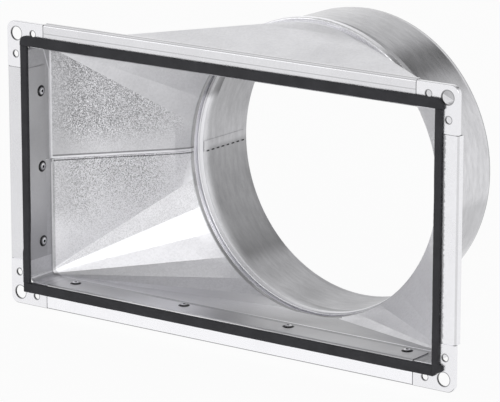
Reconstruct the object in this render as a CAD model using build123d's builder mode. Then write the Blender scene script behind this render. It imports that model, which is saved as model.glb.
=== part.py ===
import os
from math import asin, cos, degrees, hypot, radians, sin

from build123d import *

# Square-to-round duct transition: a rectangular collar with a slip-on bolting flange and foam
# gasket at the front, a body of flat triangles and conical corners, and a round push-in spigot.
# X is across the rectangle, Z is up, and Y runs from the flange face towards the spigot.

# Duct sizes
duct_width = 400.0          # inside the rectangular collar
duct_height = 200.0         # inside the rectangular collar
spigot_diameter = 249.0     # outside of the spigot, which pushes into a 250 round duct
total_length = 200.0        # flange face to spigot end
sheet = 0.8                 # galvanised sheet of the body, the spigot and the flange strip

# Body, as depths behind the flange face
collar_start = 2.0          # front edge of the sheet, inside the flange strip's pocket
collar_end = 30.0           # crease where the collar turns into the transition
rounding_start = 110.0      # the flat facets end here and are pressed round up to the neck
transition_end = 122.0      # where the body has become a circle
neck_diameter = 248.0       # outside of the short round neck
fold_radius = 6.0           # outside radius of the collar's edges
corner_facets = 6           # pressed facets at each corner
facet_angle = 11.25         # share of the circle of one facet, and half that of a flat side

# Lock seams that join the upper and lower shells
seam_gap = 0.4
seam_cover_width = 8.0
seam_cover_clearance = 0.07  # between the cover and the upper shell
seam_cover_thickness = 1.5
seam_hem_width = 2.6
seam_hem_thickness = 0.6
seam_end = 121.0

# Round joint between neck and spigot
hook_start = 124.0          # front of the spigot's rolled channel
hook_depth = 7.4            # rolled channel of the spigot, front to back
hook_height = 3.2           # rolled channel above the neck
hook_clearance = 0.6        # between the neck's turned-out lip and the floor of the channel
hook_tip_clearance = 0.9    # between the neck and the folded tip of the channel
waist_depth = 3.9           # from the back of the channel to the narrowest place
waist_drop = 2.5            # how far the waist lies inside the spigot wall
waist_run = 5.0             # from the waist back out to the spigot wall
lead_in_length = 4.0
lead_in_drop = 0.6
roll_radius = 1.0           # bend radius of the rolled sections, at mid sheet

# Lap seam along the spigot
lap_width = 9.0
lap_drop = 4.3              # lower edge of the lap, below the middle height
lap_thickness = 0.6
weld_count = 8
weld_length = 3.6
weld_width = 1.2
weld_height = 0.3
weld_margin_front = 5.1     # from the barrel's start to the middle of the first weld
weld_margin_back = 1.3      # from the middle of the last weld to the lead-in

# Slip-on flange strip
flange_height = 20.0        # face height outside the duct's inner wall
leg_length = 22.5           # legs that grip the collar, behind the flange face
rim_depth = 7.5
rim_flare = 1.0             # the rim leans outwards towards the back
strip_bend_radius = 1.6     # at mid sheet

# Stamped corner pieces
corner_leg = 38.0           # visible leg, from the outer corner
corner_plate = 1.5
corner_rim_depth = 3.6
corner_rim_wall = 1.2
corner_radius = 7.0
corner_edge_round = 0.8     # rounded front edge of the rim
corner_gap = 0.6            # between a corner piece and the end of a strip
tab_length = 28.0           # hidden tab inside the strip
tab_side_clearance = 2.4    # from the tab's edges to the strip's inner face and rim
bolt_edge_distance = 10.0   # hole centre to the outer edges
bolt_hole_diameter = 11.0
small_hole_diameter = 5.5
small_hole_along = 27.2     # from the outer corner
small_hole_edge = 9.0       # from the outer edge
mark_length = 3.0           # stamped locking mark on each upright leg
mark_width = 0.7
mark_along = 30.5
mark_edge = 10.0
mark_depth = 0.5

# Foam gasket
gasket_thickness = 3.0
gasket_width_level = 8.0    # strips along the top and bottom
gasket_width_upright = 6.5  # strips along the sides
gasket_inset_top = 0.8      # inner edge, outwards from the duct's inner wall
gasket_inset_bottom = 0.4
gasket_inset_left = -2.3    # this strip was laid a little over the edge
gasket_inset_right = 0.5
gasket_corner_radius = 4.0
gasket_snip = 4.0           # corners cut off beside the right bolt holes
torn_tag_reach = 2.8        # torn end of the right strip, beyond its outer edge
torn_tag_rise = 3.6         # from the lower end of the strip to the tag
torn_tag_height = 5.6

# Rivets
rivet_depth = 17.5          # behind the flange face
rivet_shank_diameter = 4.8
rivet_hole_clearance = 0.1
rivet_head_diameter = 9.6
rivet_head_height = 1.5
rivet_bore_diameter = 2.6
rivet_bore_depth = 1.2
rivet_tail_diameter = 6.4
rivet_tail_length = 3.4
level_rivet_shares = (-0.4125, -0.13, 0.13, 0.4125)  # places along the duct's width, from the middle
upright_rivet_shares = (-0.34, -0.02, 0.3)           # places along the duct's height

# Derived sizes
frame_width = duct_width + 2 * flange_height
frame_height = duct_height + 2 * flange_height
neck_radius = neck_diameter / 2
spigot_radius = spigot_diameter / 2
spigot_mid = spigot_radius - sheet / 2
hook_front = hook_start + sheet / 2
hook_back = hook_front + hook_depth - sheet
hook_mid = neck_radius + hook_height - sheet / 2
hook_tip = neck_radius + hook_tip_clearance
lip_front = hook_front + sheet / 2
lip_radius = neck_radius + hook_height - sheet - hook_clearance
waist_mid = spigot_mid - waist_drop
waist_at = hook_back + waist_depth
barrel_start = waist_at + waist_run
lead_in_start = total_length - lead_in_length
weld_first = barrel_start + weld_margin_front
weld_pitch = (lead_in_start - weld_margin_back - weld_first) / (weld_count - 1)

# Sides of the flange: outward direction, inner wall distance, half length of the strip
half_width = duct_width / 2
half_height = duct_height / 2
level_strip = frame_width / 2 - corner_leg - corner_gap
upright_strip = frame_height / 2 - corner_leg - corner_gap
tab_width = flange_height - 2 * tab_side_clearance
tab_overlap = 2.0
flange_sides = {
    "top": (Vector(0, 0, 1), half_height, level_strip),
    "bottom": (Vector(0, 0, -1), half_height, level_strip),
    "left": (Vector(-1, 0, 0), half_width, upright_strip),
    "right": (Vector(1, 0, 0), half_width, upright_strip),
}
level_rivets = [duct_width * share for share in level_rivet_shares]
upright_rivets = [duct_height * share for share in upright_rivet_shares]
rivet_rows = {"top": level_rivets, "bottom": level_rivets, "left": upright_rivets, "right": upright_rivets}

os.makedirs("parts", exist_ok=True)


def save(part, name):
    part.label = name
    export_step(part, f"parts/{name}.step")


def station(depth):
    """Upright plane at a depth behind the flange face, with X across and Z up."""
    return Plane.XZ.offset(-depth)


def side_plane(side):
    """Cross-section plane of one flange side: x runs outwards from the duct, y runs back."""
    outward, distance, _ = flange_sides[side]
    return Plane(origin=outward * distance, x_dir=outward, z_dir=outward.cross(Vector(0, 1, 0)))


def rivet_planes(side):
    """Planes on the inner wall at each rivet of a side, with z pointing out of the duct."""
    outward, distance, _ = flange_sides[side]
    along = Vector(1, 0, 0) if outward.X == 0 else Vector(0, 0, 1)
    middle = outward * distance + Vector(0, rivet_depth, 0)
    return [Plane(origin=middle + along * place, z_dir=outward) for place in rivet_rows[side]]


def upright_face(edges, depth):
    """Face with a given outline, drawn flat and then stood up at a depth."""
    return station(depth) * Face(Wire(edges))


def collar_section(depth, inset):
    """Rectangle of the collar, each round corner drawn as one short arc for every facet."""
    radius = fold_radius - inset
    across = half_width + sheet - fold_radius
    up = half_height + sheet - fold_radius
    step = 90 / corner_facets
    edges = []
    for quarter, centre in enumerate([(across, up), (-across, up), (-across, -up), (across, -up)]):
        edges += [CenterArc(centre, radius, 90 * quarter + k * step, step) for k in range(corner_facets)]
    for way in (1, -1):
        edges.append(Line((-across, way * (up + radius)), (across, way * (up + radius))))
        edges.append(Line((way * (across + radius), -up), (way * (across + radius), up)))
    return upright_face(edges, depth)


def facet_section(depth, inset):
    """Cross-section of the flat facets, on straight lines from the collar to the neck."""
    share = (depth - collar_end) / (transition_end - collar_end)
    across = half_width + sheet - fold_radius
    up = half_height + sheet - fold_radius
    points = []
    for quarter, (x, z) in enumerate([(across, up), (-across, up), (-across, -up), (across, -up)]):
        for k in range(corner_facets + 1):
            fold = radians(90 * quarter + k * 90 / corner_facets)
            bend = radians(90 * quarter + (k + 1) * facet_angle)
            start = Vector(x, z) + Vector(cos(fold), sin(fold)) * (fold_radius - inset)
            end = Vector(cos(bend), sin(bend)) * (neck_radius - inset)
            points.append(start * (1 - share) + end * share)
    return upright_face(Polyline(*points, close=True).edges(), depth)


def neck_section(depth, inset):
    """Circle drawn as one arc for every facet and flat side."""
    radius = neck_radius - inset
    edges = []
    for quarter in range(4):
        edges.append(CenterArc((0, 0), radius, 90 * quarter - facet_angle, 2 * facet_angle))
        starts = [90 * quarter + (k + 1) * facet_angle for k in range(corner_facets)]
        edges += [CenterArc((0, 0), radius, start, facet_angle) for start in starts]
    return upright_face(edges, depth)


def body_sections(inset):
    """The body's outline at its four stations, moved inwards by the inset."""
    return [
        collar_section(collar_start, inset),
        collar_section(collar_end, inset),
        facet_section(rounding_start, inset),
        neck_section(transition_end, inset),
    ]


outer_sections = body_sections(0)
inner_sections = body_sections(sheet)


def duct_form(sections, mode):
    """Collar and transition as one solid form."""
    front, crease, facets, neck = sections
    extrude(front, amount=collar_end - collar_start, dir=(0, 1, 0), mode=mode)
    loft([crease, facets], ruled=True, mode=mode)
    loft([facets, neck], ruled=True, mode=mode)


def duct_body():
    """Open sheet body: collar, transition, and round neck with a turned-out lip."""
    duct_form(outer_sections, Mode.ADD)
    duct_form(inner_sections, Mode.SUBTRACT)
    with BuildSketch(Plane.XY) as neck:
        with BuildLine():
            Polyline(
                (neck_radius - sheet, transition_end),
                (neck_radius, transition_end),
                (neck_radius, lip_front),
                (lip_radius, lip_front),
                (lip_radius, lip_front + sheet),
                (neck_radius - sheet, lip_front + sheet),
                close=True,
            )
        make_face()
    revolve(neck.sketch, axis=Axis.Y)
    for side in flange_sides:
        for plane in rivet_planes(side):
            with BuildSketch(plane) as hole:
                Circle(rivet_shank_diameter / 2 + rivet_hole_clearance)
            extrude(hole.sketch, amount=sheet * 2, both=True, mode=Mode.SUBTRACT)


# Outer surface of the flat side panels at middle height, where the lock seams run
collar_outside = half_width + sheet
chord_middle = neck_radius * cos(radians(facet_angle))
facet_run = rounding_start - collar_end
facet_share = facet_run / (transition_end - collar_end)
panel_end = collar_outside * (1 - facet_share) + chord_middle * facet_share
panel_slant = hypot(facet_run, collar_outside - panel_end) / facet_run
round_rise = (neck_radius - panel_end) / (transition_end - rounding_start)
seam_end_distance = panel_end + round_rise * (seam_end - rounding_start)
panel_line = [(collar_outside, collar_end), (panel_end, rounding_start), (seam_end_distance, seam_end)]


def seam_strip(near, far, bottom, top):
    """Strip along the side panel, between two distances off its surface and two heights."""
    near_side = [(x + near * panel_slant, y) for x, y in panel_line]
    far_side = [(x + far * panel_slant, y) for x, y in reversed(panel_line)]
    with BuildSketch(Plane.XY.offset(bottom)) as strip:
        with BuildLine():
            Polyline(*near_side, *far_side, close=True)
        make_face()
    extrude(strip.sketch, amount=top - bottom)


# Spigot's lap seam on the left: a section plane at its lower edge, and a plane for the welds
lap_angle = asin(lap_drop / (spigot_radius - sheet))
lap_direction = Vector(-cos(lap_angle), 0, -sin(lap_angle))
lap_plane = Plane(origin=(0, 0, 0), x_dir=lap_direction, z_dir=lap_direction.cross(Vector(0, 1, 0)))
weld_plane = Plane(
    origin=lap_direction * (spigot_radius - sheet) + Vector(0, weld_first, 0),
    x_dir=(0, 1, 0),
    z_dir=-lap_direction,
)


# Upper shell of the body, with the plain edge of the lock seam
with BuildPart() as body_upper_shell:
    duct_body()
    split(bisect_by=Plane.XY.offset(seam_gap / 2), keep=Keep.TOP)

# Lower shell of the body, with the folded edge that covers the seam and its inner hem
with BuildPart() as body_lower_shell:
    duct_body()
    split(bisect_by=Plane.XY.offset(-seam_gap / 2), keep=Keep.BOTTOM)
    with BuildPart(mode=Mode.PRIVATE) as seam_fold:
        cover_outside = seam_cover_clearance + seam_cover_thickness
        seam_strip(seam_cover_clearance, cover_outside, -seam_cover_width / 2, seam_cover_width / 2)
        seam_strip(-sheet / 2, cover_outside, -seam_cover_width / 2, -seam_gap / 2)
        seam_strip(-sheet - seam_hem_thickness, -sheet / 2, -seam_gap / 2 - seam_hem_width, -seam_gap / 2)
    add(seam_fold.part)
    mirror(seam_fold.part, about=Plane.YZ)

# Spigot: hooked channel round the lip, waist, barrel with a lap seam, and tapered lead-in
with BuildPart() as spigot:
    with BuildSketch(Plane.XY):
        with BuildLine():
            FilletPolyline(
                (hook_tip, hook_front),
                (hook_mid, hook_front),
                (hook_mid, hook_back),
                (waist_mid + sheet, hook_back),
                (waist_mid, waist_at),
                (spigot_mid, barrel_start),
                (spigot_mid, lead_in_start),
                (spigot_mid - lead_in_drop, total_length),
                radius=(roll_radius, roll_radius, roll_radius, roll_radius, roll_radius, roll_radius),
            )
        trace(line_width=sheet)
    revolve(axis=Axis.Y)
    with BuildSketch(lap_plane):
        with Locations((spigot_radius - sheet - lap_thickness, barrel_start)):
            Rectangle(lap_thickness + sheet / 2, lead_in_start - barrel_start, align=Align.MIN)
    revolve(axis=Axis.Y, revolution_arc=degrees(lap_width / spigot_radius))
    with BuildSketch(weld_plane):
        with Locations(*[(k * weld_pitch, 0) for k in range(weld_count)]):
            SlotOverall(weld_length, weld_width)
    extrude(amount=lap_thickness + weld_height)

save(body_upper_shell.part, "body_upper_shell")
save(body_lower_shell.part, "body_lower_shell")
save(spigot.part, "spigot")


# Slip-on strips: a flat face, a flared rim, and two legs that hold the collar's edge
for side, (outward, distance, half_length) in flange_sides.items():
    with BuildPart() as flange_strip:
        with BuildSketch(side_plane(side)):
            with BuildLine():
                FilletPolyline(
                    (-sheet / 2, leg_length),
                    (-sheet / 2, sheet / 2),
                    (flange_height - sheet / 2, sheet / 2),
                    (flange_height + rim_flare - sheet / 2, rim_depth - sheet / 2),
                    (sheet * 3 / 2, rim_depth - sheet / 2),
                    (sheet * 3 / 2, leg_length),
                    radius=strip_bend_radius,
                )
            trace(line_width=sheet)
        extrude(amount=half_length, both=True)
        for plane in rivet_planes(side):
            with BuildSketch(plane):
                Circle(rivet_shank_diameter / 2 + rivet_hole_clearance)
            extrude(amount=sheet * 4, both=True, mode=Mode.SUBTRACT)
    save(flange_strip.part, f"flange_strip_{side}")

# Stamped corner, drawn at the top right: face with a short rim, and a tab inside each strip
with BuildPart() as corner:
    with BuildSketch(station(0)):
        with BuildLine():
            FilletPolyline(
                (frame_width / 2 - corner_leg, half_height),
                (frame_width / 2 - corner_leg, frame_height / 2),
                (frame_width / 2, frame_height / 2),
                (frame_width / 2, frame_height / 2 - corner_leg),
                (half_width, frame_height / 2 - corner_leg),
                (half_width, half_height),
                close=True,
                radius=(0, 0, corner_radius, 0, 0, 0),
            )
        make_face()
    extrude(amount=-corner_plate)
    with BuildSketch(station(0)):
        for wall, mode in ((0, Mode.ADD), (corner_rim_wall, Mode.SUBTRACT)):
            with BuildLine():
                FilletPolyline(
                    (frame_width / 2 - corner_leg, frame_height / 2 - wall),
                    (frame_width / 2 - wall, frame_height / 2 - wall),
                    (frame_width / 2 - wall, frame_height / 2 - corner_leg),
                    (frame_width / 2 - corner_leg, frame_height / 2 - corner_leg),
                    close=True,
                    radius=(0, corner_radius - wall, 0, 0),
                )
            make_face(mode=mode)
    extrude(amount=-corner_rim_depth)
    with BuildSketch(station(sheet)):
        with Locations((frame_width / 2 - corner_leg + tab_overlap, half_height + tab_side_clearance)):
            Rectangle(tab_length + tab_overlap, tab_width, align=(Align.MAX, Align.MIN))
        with Locations((half_width + tab_side_clearance, frame_height / 2 - corner_leg + tab_overlap)):
            Rectangle(tab_width, tab_length + tab_overlap, align=(Align.MIN, Align.MAX))
    extrude(amount=-corner_plate)
    with BuildSketch(station(0)):
        with Locations((frame_width / 2 - bolt_edge_distance, frame_height / 2 - bolt_edge_distance)):
            Circle(bolt_hole_diameter / 2)
        with Locations(
            (frame_width / 2 - small_hole_along, frame_height / 2 - small_hole_edge),
            (frame_width / 2 - small_hole_edge, frame_height / 2 - small_hole_along),
        ):
            Circle(small_hole_diameter / 2)
    extrude(amount=-corner_plate, mode=Mode.SUBTRACT)
    with BuildSketch(station(0)):
        with Locations((frame_width / 2 - mark_edge, frame_height / 2 - mark_along)):
            SlotOverall(mark_length, mark_width)
    extrude(amount=-mark_depth, mode=Mode.SUBTRACT)
    front_edges = edges().group_by(Axis.Y)[0]
    outer_right = front_edges.filter_by(lambda edge: edge.center().X > frame_width / 2 - corner_rim_wall * 2)
    outer_top = front_edges.filter_by(lambda edge: edge.center().Z > frame_height / 2 - corner_rim_wall * 2)
    fillet(outer_right + [edge for edge in outer_top if edge not in outer_right], corner_edge_round)

save(corner.part, "corner_piece_top_right")
save(mirror(corner.part, about=Plane.YZ, mode=Mode.PRIVATE), "corner_piece_top_left")
with BuildPart() as lower_corner:
    mirror(corner.part, about=Plane.XY)
save(lower_corner.part, "corner_piece_bottom_right")
save(mirror(lower_corner.part, about=Plane.YZ, mode=Mode.PRIVATE), "corner_piece_bottom_left")

# Foam strips on the flange face, given as left, right, bottom and top limits
gasket_left_edge = -half_width - gasket_inset_left - gasket_width_upright
gasket_right_edge = half_width + gasket_inset_right + gasket_width_upright
gasket_top_edge = half_height + gasket_inset_top + gasket_width_level
gasket_bottom_edge = -half_height - gasket_inset_bottom - gasket_width_level
top_strip_bottom = gasket_top_edge - gasket_width_level
bottom_strip_top = gasket_bottom_edge + gasket_width_level
right_strip_left = gasket_right_edge - gasket_width_upright
gasket_limits = {
    "top": (gasket_left_edge, gasket_right_edge, top_strip_bottom, gasket_top_edge),
    "bottom": (gasket_left_edge, right_strip_left, gasket_bottom_edge, bottom_strip_top),
    "left": (gasket_left_edge, gasket_left_edge + gasket_width_upright, bottom_strip_top, top_strip_bottom),
    "right": (right_strip_left, gasket_right_edge, gasket_bottom_edge, top_strip_bottom),
}
for side, (left, right, bottom, top) in gasket_limits.items():
    with BuildPart() as gasket:
        with BuildSketch(station(0)):
            with Locations((left, bottom)):
                Rectangle(right - left, top - bottom, align=Align.MIN)
            if side == "top":
                upper_corners = vertices().group_by(Axis.Y)[-1].sort_by(Axis.X)
                fillet(upper_corners[0], gasket_corner_radius)
                chamfer(upper_corners[1], gasket_snip)
            if side == "right":
                chamfer(vertices().group_by(Axis.Y)[0].sort_by(Axis.X)[-1], gasket_snip)
                tag_bottom = bottom + torn_tag_rise
                with BuildLine():
                    Polyline(
                        (right - torn_tag_reach, tag_bottom),
                        (right, tag_bottom),
                        (right + torn_tag_reach, tag_bottom + torn_tag_height * 0.15),
                        (right + torn_tag_reach, tag_bottom + torn_tag_height * 0.55),
                        (right + torn_tag_reach * 0.5, tag_bottom + torn_tag_height * 0.8),
                        (right, tag_bottom + torn_tag_height),
                        (right - torn_tag_reach, tag_bottom + torn_tag_height),
                        close=True,
                    )
                make_face()
        extrude(amount=gasket_thickness)
    save(gasket.part, f"gasket_{side}")

# Blind rivet along its own axis: domed head and bore inside, tail outside
rivet_grip = sheet * 3
with BuildPart() as rivet:
    with BuildSketch(Plane.XZ):
        with BuildLine():
            ThreePointArc(
                (-rivet_head_diameter / 2, -sheet),
                (0, -sheet - rivet_head_height),
                (rivet_head_diameter / 2, -sheet),
            )
            Line((-rivet_head_diameter / 2, -sheet), (rivet_head_diameter / 2, -sheet))
        make_face()
        with Locations((0, -sheet)):
            Rectangle(rivet_shank_diameter, rivet_grip, align=(Align.CENTER, Align.MIN))
        with Locations((0, sheet * 2)):
            RectangleRounded(
                rivet_tail_diameter,
                rivet_tail_length,
                rivet_tail_diameter / 4,
                align=(Align.CENTER, Align.MIN),
            )
        split(bisect_by=Plane.YZ, keep=Keep.TOP)
    revolve(axis=Axis.Z)
    with BuildSketch(Plane.XY.offset(-sheet - rivet_head_height)):
        Circle(rivet_bore_diameter / 2)
    extrude(amount=rivet_bore_depth, mode=Mode.SUBTRACT)

for side in flange_sides:
    with BuildPart() as rivets:
        with Locations(*rivet_planes(side)):
            add(rivet.part)
    save(rivets.part, f"rivets_{side}")
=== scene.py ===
# %% [markdown]
# # A square-to-round duct transition in galvanised sheet
# The solids come in as a fixed frame, already in metres and in their real places. This lesson
# dresses them: it gives the sheet metal its zinc finish, cuts new foam strips for the flange, and
# lights the lot like a catalogue photograph. The frame's box is kept, so the dressed model can be
# measured against it.

# %% Load the frame
import math

import bmesh
import bpy
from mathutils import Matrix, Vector, noise


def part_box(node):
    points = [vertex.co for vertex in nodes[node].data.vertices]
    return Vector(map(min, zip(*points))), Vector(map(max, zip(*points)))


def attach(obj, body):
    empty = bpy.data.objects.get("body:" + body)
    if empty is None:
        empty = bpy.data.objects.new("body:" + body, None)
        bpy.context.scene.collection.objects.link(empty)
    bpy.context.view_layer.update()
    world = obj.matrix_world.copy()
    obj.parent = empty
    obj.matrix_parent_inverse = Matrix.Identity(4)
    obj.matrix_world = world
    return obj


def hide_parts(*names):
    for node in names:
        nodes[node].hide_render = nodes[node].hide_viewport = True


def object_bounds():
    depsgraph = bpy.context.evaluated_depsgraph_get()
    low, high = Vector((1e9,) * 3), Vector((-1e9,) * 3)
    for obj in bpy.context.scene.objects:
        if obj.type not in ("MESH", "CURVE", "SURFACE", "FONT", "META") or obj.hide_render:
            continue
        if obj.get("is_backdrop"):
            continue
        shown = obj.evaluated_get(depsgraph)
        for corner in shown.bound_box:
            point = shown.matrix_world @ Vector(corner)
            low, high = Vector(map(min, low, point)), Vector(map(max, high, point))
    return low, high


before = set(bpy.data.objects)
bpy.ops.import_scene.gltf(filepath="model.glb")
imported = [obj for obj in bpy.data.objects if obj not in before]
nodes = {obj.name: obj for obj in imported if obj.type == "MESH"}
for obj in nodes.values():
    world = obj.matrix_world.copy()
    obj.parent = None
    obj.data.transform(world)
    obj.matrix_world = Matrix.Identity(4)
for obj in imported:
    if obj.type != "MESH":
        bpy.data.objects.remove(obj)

cad_low, cad_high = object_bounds()
print("nodes", len(nodes), "box", [round(v, 4) for v in (*cad_low, *cad_high)])

# %% [markdown]
# ## The camera
# The viewer stands to the right of the rectangular end and a little above it. A camera can be
# dragged into place by hand, but three numbers are easier to reason about: the angle round the
# object, the angle above it, and the distance from the point it looks at. It stands far back with
# a long lens, so the flange's edges run almost parallel, as catalogue photographs show them.

# %% Camera
view_angle = math.radians(36.155)
view_height = math.radians(14.115)
view_distance = 2.74568
look_at = Vector((-0.04598, 0.1, -0.02784))
towards_viewer = Vector((
    math.sin(view_angle) * math.cos(view_height),
    -math.cos(view_angle) * math.cos(view_height),
    math.sin(view_height),
))
camera_data = bpy.data.cameras.new("camera")
camera_data.sensor_width = 36.0
camera_data.lens = 239.70
camera_data.clip_end = 50.0
camera = bpy.data.objects.new("camera", camera_data)
camera.location = look_at + towards_viewer * view_distance
camera.rotation_euler = towards_viewer.to_track_quat("Z", "Y").to_euler()
bpy.context.scene.collection.objects.link(camera)
bpy.context.scene.camera = camera
print("camera at", [round(v, 3) for v in camera.location])

# %% [markdown]
# ## Helpers for node trees
# Every finish below is a small tree of shader nodes. A tree can be drawn by hand in the shader
# editor, but there is no end of boxes to drag. These helpers add a node, make a node group with
# named sockets, use such a group, and do a sum, so that a tree reads like a recipe. An input's
# name is written with an underscore for each blank.

# %% Node helpers
def set_inputs(node, inputs):
    for name, value in inputs.items():
        node.inputs[name.replace("_", " ")].default_value = value


def add_node(tree, kind, **inputs):
    node = tree.nodes.new(kind)
    set_inputs(node, inputs)
    return node


def new_group(name, inputs, outputs):
    """Empty group of plain numbers: its inputs are names with a value, its outputs are names."""
    group = bpy.data.node_groups.new(name, "ShaderNodeTree")
    for socket, value in inputs.items():
        made = group.interface.new_socket(socket, in_out="INPUT", socket_type="NodeSocketFloat")
        made.default_value = value
    for socket in outputs:
        group.interface.new_socket(socket, in_out="OUTPUT", socket_type="NodeSocketFloat")
    return group, group.nodes.new("NodeGroupInput"), group.nodes.new("NodeGroupOutput")


def use_group(tree, group, **inputs):
    node = tree.nodes.new("ShaderNodeGroup")
    node.node_tree = group
    set_inputs(node, inputs)
    return node


def math_node(tree, operation, first, second=None):
    """Result of a sum; each value is a number or the output of another node."""
    node = tree.nodes.new("ShaderNodeMath")
    node.operation = operation
    for socket, value in zip(node.inputs, (first, second)):
        if value is None:
            continue
        if isinstance(value, (int, float)):
            socket.default_value = value
        else:
            tree.links.new(value, socket)
    return node.outputs[0]


print("helpers ready")

# %% [markdown]
# ## Zinc spangle
# Hot-dip galvanised sheet is covered in zinc crystals. On this thin ducting sheet they are fine,
# one to two millimetres across, and each tilts a little, so the sheet glitters softly and never
# looks flat. A picture of zinc could be wrapped round it, but it would repeat and stretch. A
# Voronoi texture does neither: it gives every crystal its own cell, whose random colour shades
# the zinc. A finer noise crumbles the cells. Its lowest spots are the small dimples between
# crystals, which are darkened as painted shade, and its highest are painted glints, brightened as
# painted highlights; both show most where the sheet was left flat.

# %% Spangle group
crumbs_per_crystal = 3.1
spangle, spangle_in, spangle_out = new_group(
    "zinc_spangle",
    {"Scale": 500.0, "Depth": 0.2, "Seed": 0.0},
    ("Shade", "Height", "Dimples", "Painted Glints"),
)
coordinates = add_node(spangle, "ShaderNodeTexCoord")
cells = add_node(spangle, "ShaderNodeTexVoronoi")
cells.voronoi_dimensions = "4D"
crumble = add_node(spangle, "ShaderNodeTexNoise", Detail=2.0)
crumble.noise_dimensions = "4D"
for texture in (cells, crumble):
    spangle.links.new(coordinates.outputs["Object"], texture.inputs["Vector"])
    spangle.links.new(spangle_in.outputs["Seed"], texture.inputs["W"])
crystal_scale = spangle_in.outputs["Scale"]
crumble_scale = math_node(spangle, "MULTIPLY", crystal_scale, crumbs_per_crystal)
spangle.links.new(crystal_scale, cells.inputs["Scale"])
spangle.links.new(crumble_scale, crumble.inputs["Scale"])
split_colour = add_node(spangle, "ShaderNodeSeparateColor")
spangle.links.new(cells.outputs["Color"], split_colour.inputs[0])
mixed = math_node(spangle, "ADD", split_colour.outputs[0], crumble.outputs["Fac"])
centred = math_node(spangle, "SUBTRACT", mixed, 1.0)
shade = math_node(spangle, "MULTIPLY", centred, spangle_in.outputs["Depth"])
spangle.links.new(shade, spangle_out.inputs["Shade"])
spangle.links.new(mixed, spangle_out.inputs["Height"])
# dimples are darkened as painted shade, glints are brightened as painted highlights
for socket, none, full in (("Dimples", 0.50, 0.42), ("Painted Glints", 0.52, 0.60)):
    pick = add_node(
        spangle, "ShaderNodeMapRange", From_Min=none, From_Max=full, To_Min=0.0, To_Max=1.0,
    )
    spangle.links.new(crumble.outputs["Fac"], pick.inputs["Value"])
    spangle.links.new(pick.outputs["Result"], spangle_out.inputs[socket])
print("spangle group nodes", len(spangle.nodes))

# %% [markdown]
# ## Handling marks
# Sheet that has been rolled, bent and carried has broad soft patches where the zinc is a little
# duller. They could be painted one by one, but nobody looks for any one patch, so a low, slow
# noise will do. It changes the shade by a few hundredths and the gloss by more.

# %% Handling group
gloss_change = -0.25
handling, handling_in, handling_out = new_group(
    "handling_patches", {"Scale": 25.0, "Amount": 0.05, "Seed": 0.0}, ("Shade", "Dullness"),
)
coordinates = add_node(handling, "ShaderNodeTexCoord")
patches = add_node(handling, "ShaderNodeTexNoise", Detail=5.0, Roughness=0.62)
patches.noise_dimensions = "4D"
handling.links.new(coordinates.outputs["Object"], patches.inputs["Vector"])
handling.links.new(handling_in.outputs["Scale"], patches.inputs["Scale"])
handling.links.new(handling_in.outputs["Seed"], patches.inputs["W"])
centred = math_node(handling, "SUBTRACT", patches.outputs["Fac"], 0.5)
shade = math_node(handling, "MULTIPLY", centred, handling_in.outputs["Amount"])
dullness = math_node(handling, "MULTIPLY", centred, gloss_change)
handling.links.new(shade, handling_out.inputs["Shade"])
handling.links.new(dullness, handling_out.inputs["Dullness"])
print("handling group nodes", len(handling.nodes))

# %% [markdown]
# ## Where on the duct
# Sheet has two faces, and one finish has to cover both. The inside of a duct is never wiped after
# forming, so it keeps a thin film of drawing oil that makes the zinc rougher. The inside also
# takes greys of its own, which are painted light and shade for how light reaches into the duct.
# Its faces could be picked by hand and given a second material, but the shader can tell by itself:
# a face is inside when its normal points back at the duct's middle line. The same group hands out
# the place and the normal, one number each, so that a finish can say in plain terms where a line,
# a weld or a dark edge lies.

# %% Place group
looks_inwards = -0.0001
place_sockets = ("Across", "Depth", "Height")
normal_sockets = ("Normal Across", "Normal Depth", "Normal Height")
whereabouts, _, whereabouts_out = new_group(
    "duct_whereabouts", {}, ("Inside", "Radius", *place_sockets, *normal_sockets),
)
coordinates = add_node(whereabouts, "ShaderNodeTexCoord")
from_line = add_node(whereabouts, "ShaderNodeVectorMath")
from_line.operation = "MULTIPLY"
from_line.inputs[1].default_value = (1.0, 0.0, 1.0)
facing = add_node(whereabouts, "ShaderNodeVectorMath")
facing.operation = "DOT_PRODUCT"
reach = add_node(whereabouts, "ShaderNodeVectorMath")
reach.operation = "LENGTH"
whereabouts.links.new(coordinates.outputs["Object"], from_line.inputs[0])
whereabouts.links.new(from_line.outputs[0], facing.inputs[0])
whereabouts.links.new(from_line.outputs[0], reach.inputs[0])
whereabouts.links.new(coordinates.outputs["Normal"], facing.inputs[1])
inside = math_node(whereabouts, "LESS_THAN", facing.outputs["Value"], looks_inwards)
whereabouts.links.new(inside, whereabouts_out.inputs["Inside"])
whereabouts.links.new(reach.outputs["Value"], whereabouts_out.inputs["Radius"])
for source, sockets in (("Object", place_sockets), ("Normal", normal_sockets)):
    parts = add_node(whereabouts, "ShaderNodeSeparateXYZ")
    whereabouts.links.new(coordinates.outputs[source], parts.inputs[0])
    for part, socket in zip(parts.outputs, sockets):
        whereabouts.links.new(part, whereabouts_out.inputs[socket])
print("place group nodes", len(whereabouts.nodes))

# %% [markdown]
# ## A soft band
# Creases, seams and bends all show as thin lines. Each could be a strip of faces with its own
# material, but its edges would be hard. One small group turns any number that changes over the
# surface into a line instead: 1 where the number equals a given middle, fading to 0 at a given
# half width.

# %% Band group
band, band_in, band_out = new_group(
    "soft_band", {"Value": 0.0, "Middle": 0.0, "Half Width": 0.001}, ("Mask",),
)
apart = math_node(band, "SUBTRACT", band_in.outputs["Value"], band_in.outputs["Middle"])
apart = math_node(band, "ABSOLUTE", apart)
share = math_node(band, "DIVIDE", apart, band_in.outputs["Half Width"])
fade = add_node(band, "ShaderNodeMapRange", From_Min=1.0, From_Max=0.55, To_Min=0.0, To_Max=1.0)
fade.interpolation_type = "SMOOTHSTEP"
band.links.new(share, fade.inputs["Value"])
band.links.new(fade.outputs["Result"], band_out.inputs["Mask"])


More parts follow.
